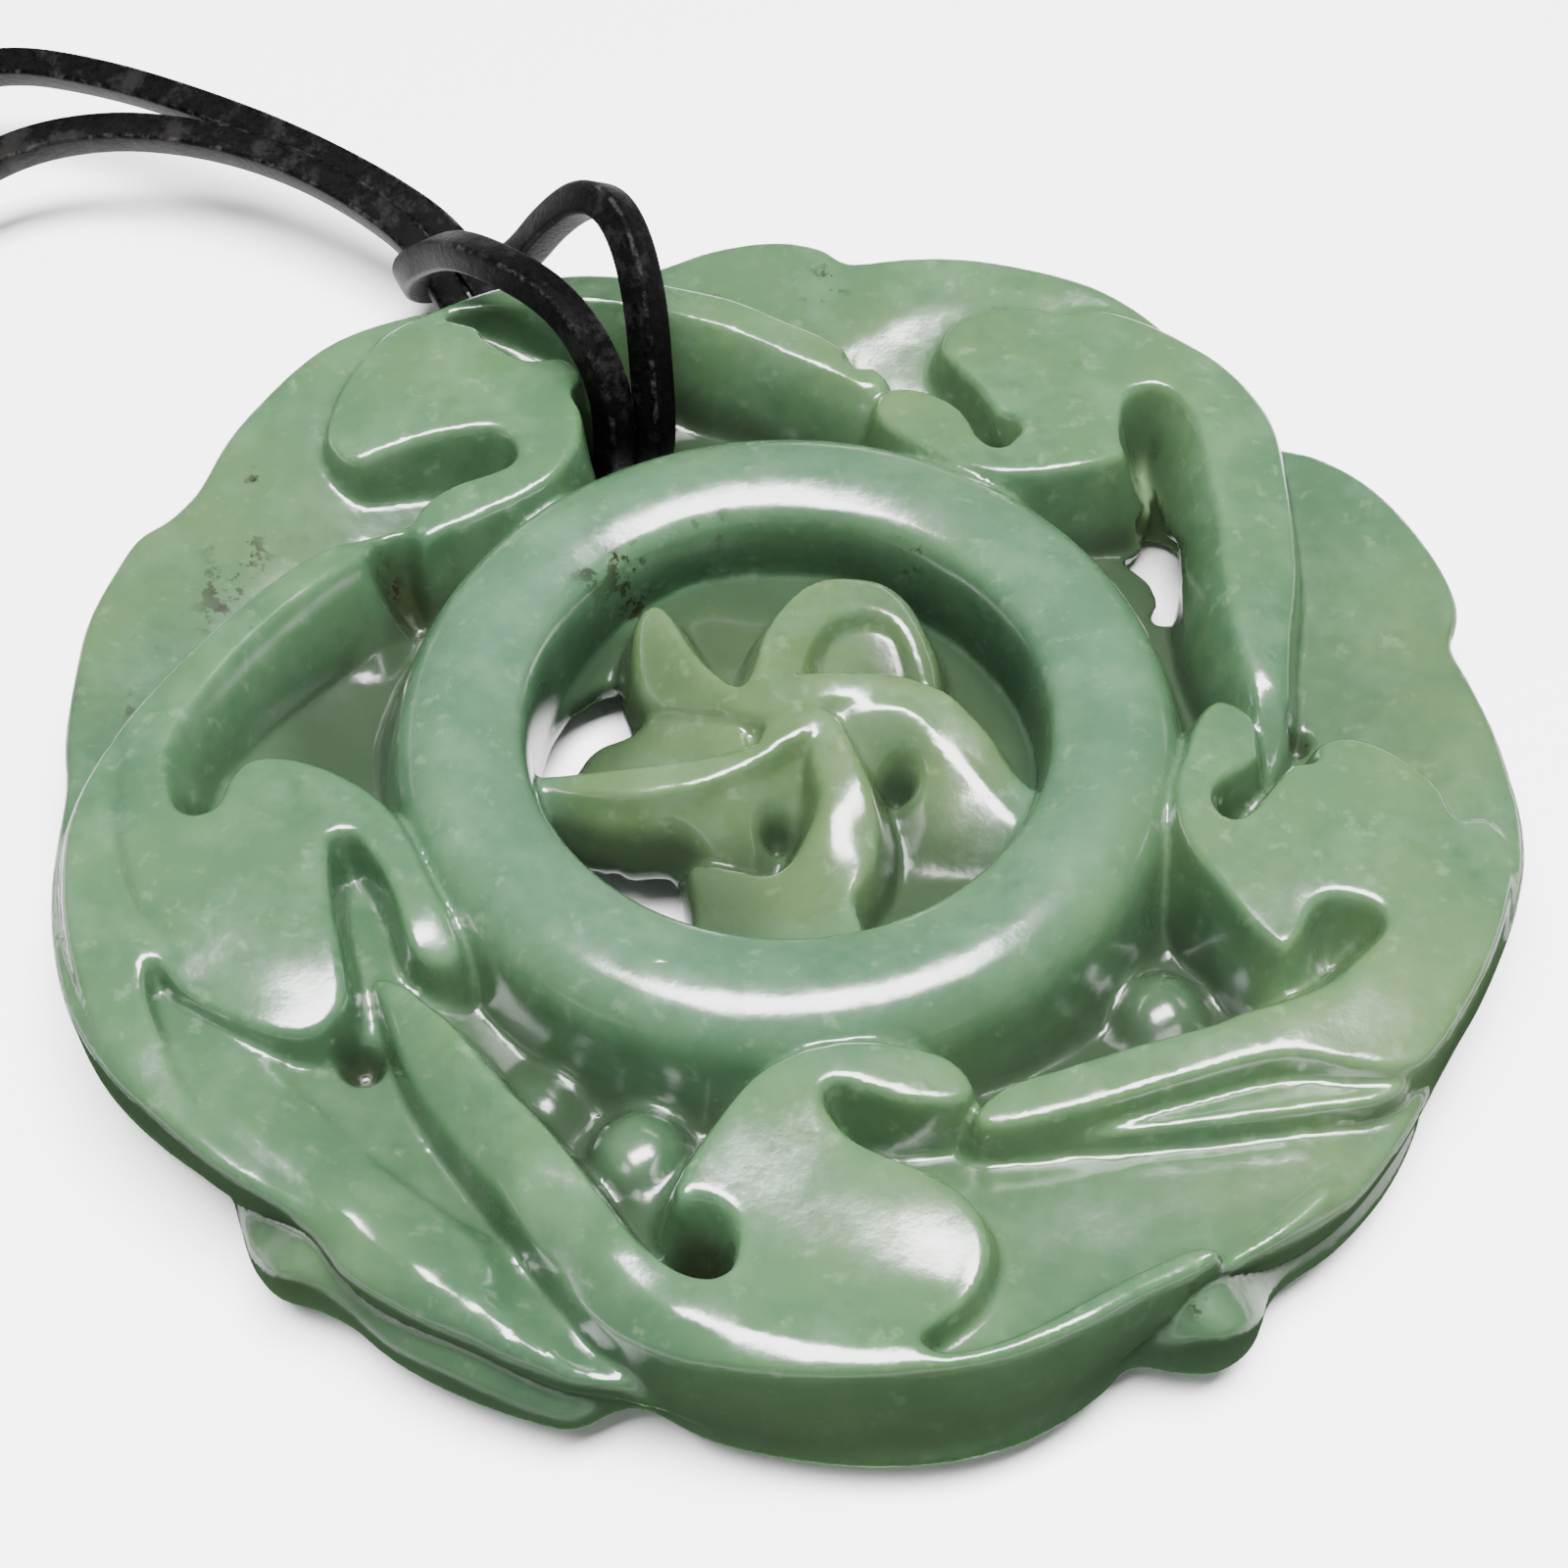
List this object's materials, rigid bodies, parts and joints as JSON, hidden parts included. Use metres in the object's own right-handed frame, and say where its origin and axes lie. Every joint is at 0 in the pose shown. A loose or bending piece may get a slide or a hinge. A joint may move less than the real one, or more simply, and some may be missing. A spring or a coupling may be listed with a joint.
{
  "type": "jade disc pendant on leather lace",
  "caption": "Round jade disc carved and pierced with scrolls round a raised ring, a pinwheel flower in its middle, on a looped leather lace.",
  "frame": {"origin": "centre of the stone's underside, on the floor that it lies on", "axes": "+Z is the disc's axis and points out of its shown face; +Y points away from the viewer, the lace goes through the opening up and left of the flower; +X points to the viewer's right"},
  "size_m": [0.1019, 0.0958, 0.0158],
  "materials": {
    "jade": "gloss",
    "lace": "satin"
  },
  "bodies": {
    "root": {"jade_disc": "jade", "neck_cord": "lace", "end_knot": "lace"}
  },
  "joints": []
}
